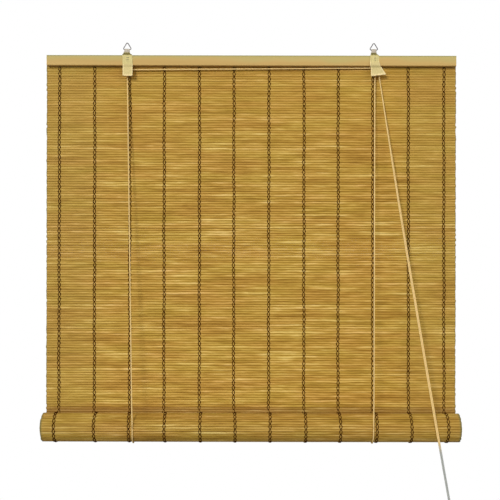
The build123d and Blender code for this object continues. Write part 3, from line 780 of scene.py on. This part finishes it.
def lift_cord(name, path, node_name, anchor_z=None):
    """A run of lift cord: a tube of ten sides along a path. With an anchor it hangs from the head, and
    without one it goes up with the roll."""
    points, angle = tube(path, np.gradient(path, axis=0), [1.0, 0.0, 0.0], CORD / 2)
    along = np.concatenate([[0], np.cumsum(np.linalg.norm(np.diff(path, axis=0), axis=1))])
    uv = np.stack(np.broadcast_arrays(along[:, None], angle[None] / (2 * np.pi)), -1)
    faces = ring_faces(1, len(path), len(angle))
    body = "lift" if anchor_z is None else "head"
    piece = mesh_piece(name, points, faces, uv, cord_cotton, body, "cream_cord", [node_name])
    if anchor_z is not None:
        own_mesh(piece)


def tangent_point(start_y, start_z, centre_z):
    """Where a straight cord from a guide meets the circle of the loop round the roll, and the angle."""
    away = math.hypot(start_y - ROLL_Y, start_z - centre_z)
    angle = math.atan2(start_z - centre_z, start_y - ROLL_Y) + math.acos(LOOP_RADIUS / away)
    return ROLL_Y + LOOP_RADIUS * math.cos(angle), centre_z + LOOP_RADIUS * math.sin(angle), angle


def front_path(top, below_x, low_x):
    """The front run, from its guide down to the loop. It bows forward by 2.5 mm at most: its depth is
    that of a taut cord over the raised roll, a tangent and then an arc, at the height it shrinks to.
    Behind the tab it is pressed a little sideways, to below_x, by a smooth step, and then runs straight."""
    touch_z = tangent_point(top[1], top[2], ROLL_Z)[1]
    share = np.linspace(0, 1, 90)
    z = top[2] + share * (touch_z - top[2])
    raised = top[2] + (z - top[2]) * (1 - TRAVEL / (top[2] - touch_z))
    over_y, over_z, _ = tangent_point(top[1], top[2], ROLL_Z + TRAVEL)
    line = top[1] + (raised - top[2]) / (over_z - top[2]) * (over_y - top[1])
    arc = ROLL_Y - np.sqrt(np.clip(LOOP_RADIUS**2 - (raised - ROLL_Z - TRAVEL) ** 2, 0, None))
    y = np.where(raised > over_z, line, arc)
    shift = np.clip(share / 0.035, 0, 1)
    x = below_x + share * (low_x - below_x) + (top[0] - below_x) * (1 - shift * shift * (3 - 2 * shift))
    return np.stack([x, y, z], -1)


def loop_path(top, low_x, back_x):
    """The loop under the roll: an arc of LOOP_RADIUS from the front run's touching point, under the roll
    and up to the back run, moving evenly along X from one to the other."""
    angle = np.linspace(tangent_point(top[1], top[2], ROLL_Z)[2], 2 * np.pi, 48)
    x = np.linspace(low_x, back_x, len(angle))
    return np.stack([x, ROLL_Y + LOOP_RADIUS * np.cos(angle), ROLL_Z + LOOP_RADIUS * np.sin(angle)], -1)


# Lift cords: the point at the guide, and X just below the tab, at the roll and at the back
for side, top, below_x, low_x, back_x in (
    ("left", (-0.2425, -0.014, -0.01952), -0.2419, -0.2246, -0.2265),
    ("right", (0.2427, -0.01515, -0.01523), 0.2404, 0.2329, 0.2329),
):
    lift_cord(f"cord_front_{side}", front_path(top, below_x, low_x), f"lift_cord_{side}_front", top[2])
    lift_cord(f"cord_loop_{side}", loop_path(top, low_x, back_x), f"lift_cord_{side}_loop")
    ends = (back_x, BACK_RUN_Y, BACK_RUN_TOP), (back_x, BACK_RUN_Y, ROLL_Z + 0.25 * MM)
    lift_cord(f"cord_back_{side}", np.linspace(*ends, 40), f"lift_cord_{side}_back", BACK_RUN_TOP)

# Pull cord, in millimetres: the corners of its route in the part's source, put up to 1.4 mm aside. apart
# is how far each strand is there from their middle, in X and Y
guide = np.array([246.7, -14.0, -15.556])
right_forward_down = np.array(
    [(0, 0, 0), (25.2, 12.4, 174.5), (51.6, 25.6, 352.5), (107.9, 51.3, 706.5), (129.4, 60.9, 835.5)]
)
apart = np.array([(0.0, 0.5), (0.37, 0.52), (0.5, 0.26), (0.5, 0.0), (0.5, 0.0)]) * 2.3
middle = guide + right_forward_down * (1, -1, -1)


def pull_knot():
    """The end knot: a trefoil, sin t + 2 sin 2t, cos t - 2 cos 2t, -sin 3t, drawn long, with two tails."""
    low = middle[-1]
    rings, tail_rings, around = 90, 12, 10
    t = np.linspace(0, 2 * np.pi, rings, endpoint=False)
    knot = np.stack([np.sin(t) + 2 * np.sin(2 * t), -np.sin(3 * t) * 1.1, np.cos(t) - 2 * np.cos(2 * t)], -1)
    path = low + (0, 0, -5.2) + knot * (0.85, 0.95, 1.3)
    run = np.roll(path, -1, 0) - np.roll(path, 1, 0)
    loop, angle = tube(path, run, [0.3, 0.2, 0.93], 1.25, around)
    parts = [loop.reshape(-1, 3)]
    ends = np.linspace(0, 1, tail_rings)
    flat = np.stack([np.cos(angle), np.sin(angle), 0 * angle], -1)
    for sign in (-1, 1):
        line = low + np.stack([sign * (1.15 + 0.8 * ends), 0 * ends, -4 - 15 * ends], -1)
        tail = line[:, None] + flat * (1.1 + 0.5 * (ends[:, None, None] > 0.93))
        parts.append(tail.reshape(-1, 3))
    i, j = np.meshgrid(np.arange(rings), np.arange(around), indexing="ij")
    next_i, next_j = (i + 1) % rings * around, (j + 1) % around
    corners = [i * around + j, i * around + next_j, next_i + next_j, next_i + j]
    faces = np.stack(corners, -1).reshape(-1, 4).tolist()
    faces += [[v + rings * around for v in face] for face in ring_faces(2, tail_rings, around)]
    v = np.tile(angle / (2 * np.pi), rings + 2 * tail_rings)
    u = np.concatenate([np.repeat(t * 0.01, around), np.tile(np.repeat(ends * 0.015, around), 2)])
    return mesh_piece(
        "cord_knot", np.concatenate(parts) * MM, faces, np.stack([u, v], -1),
        cord_cotton_pulled, "pull", "cream_cord", ["pull_knot"],
    )


knot = pull_knot()
for side, sign in (("left", 1), ("right", -1)):
    line = bpy.data.curves.new(f"cord_pull_{side}", "CURVE")
    line.dimensions = "3D"
    line.bevel_depth = CORD / 2
    line.bevel_resolution = 3
    line.resolution_u = 24
    strand = line.splines.new("NURBS")
    route = middle.copy()
    route[:, :2] += sign * apart
    strand.points.add(len(route) - 1)
    strand.points.foreach_set("co", np.concatenate([route * MM, np.ones((len(route), 1))], -1).ravel())
    strand.order_u = 3
    strand.use_endpoint_u = True
    line.materials.append(cord_cotton_pulled)
    pull = bpy.data.objects.new(f"cord_pull_{side}", line)
    scene.collection.objects.link(pull)
    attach(pull, "pull")
    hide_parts(f"pull_cord_{side}")

# Finishes of the pieces that keep their own shape
for names, finish in (
    (("head_rail", "back_lath"), rail_wood),
    (("bottom_pole",), pole_wood),
    (("hang_ring_left", "hang_ring_right"), ring_steel),
    (("lath_nails", "tab_staples", "cord_guide_left", "cord_guide_right"), bright_steel),
    (("cross_cord", "lift_cord_right_turn", "anchor_knots"), cord_cotton_plain),
):
    for name in names:
        nodes[name].data.materials.clear()
        nodes[name].data.materials.append(finish)

# Floor below the blind, out of the camera's view: grey for the light it sends back, white to look at
FLOOR_Z = -1250 * MM
floor_finish, tree, surface = material("floor", 0.9)
surface.inputs["Base Color"].default_value = (0.25, 0.25, 0.25, 1)
light_path = node(tree, "ShaderNodeLightPath")
glow = node(tree, "ShaderNodeEmission", {"Color": (1, 1, 1, 1), "Strength": 1.0})
share = times(tree, light_path.outputs["Is Camera Ray"], 0.9)
mixed = node(tree, "ShaderNodeMixShader", {0: share, 1: surface.outputs[0], 2: glow.outputs[0]})
tree.links.new(mixed.outputs[0], next(n for n in tree.nodes if n.type == "OUTPUT_MATERIAL").inputs[0])
floor_mesh = bpy.data.meshes.new("floor")
corners = [(x, y, FLOOR_Z) for x, y in ((-3, -3), (3, -3), (3, 0.9), (-3, 0.9))]
floor_mesh.from_pydata(corners, [], [(0, 1, 2, 3)])
floor_mesh.materials.append(floor_finish)
floor = bpy.data.objects.new("floor", floor_mesh)
scene.collection.objects.link(floor)

# Surroundings: plain white where they are seen, and dimmer from below where they light the blind
world = bpy.data.worlds.new("studio")
world.use_nodes = True
scene.world = world
tree = world.node_tree
tree.nodes.clear()
where = node(tree, "ShaderNodeTexCoord")
height = node(tree, "ShaderNodeSeparateXYZ", {0: where.outputs["Generated"]}).outputs[2]
level = node(tree, "ShaderNodeMapRange", {0: height, 1: -0.35, 2: 0.6, 3: 0.05, 4: 0.72}).outputs[0]
seen = node(tree, "ShaderNodeLightPath")
direct = maths(tree, "MAXIMUM", seen.outputs["Is Camera Ray"], seen.outputs["Is Glossy Ray"])
direct = maths(tree, "MAXIMUM", direct, seen.outputs["Is Transmission Ray"])
strength = node(tree, "ShaderNodeMix", {0: direct, 2: level, 3: 1.0}).outputs[0]
sky = node(tree, "ShaderNodeBackground", {"Color": (1, 1, 1, 1), "Strength": strength})
tree.links.new(sky.outputs[0], node(tree, "ShaderNodeOutputWorld").inputs[0])

# Suns, by azimuth, elevation, strength and softness. The one behind leaves no shine on the rims
for name, azimuth, elevation, strength, softness in (
    ("key", -20, 15, 1.7, 14),
    ("fill", 32, 14, 0.42, 25),
    ("back", 160, 12, 0.8, 30),
):
    lamp = bpy.data.lights.new(name, "SUN")
    lamp.energy = strength
    lamp.angle = math.radians(softness)
    sun = bpy.data.objects.new(name, lamp)
    sun.rotation_euler = (math.radians(90 - elevation), 0, math.radians(azimuth))
    sun.visible_glossy = name != "back"
    scene.collection.objects.link(sun)

scene.view_settings.view_transform = "Standard"
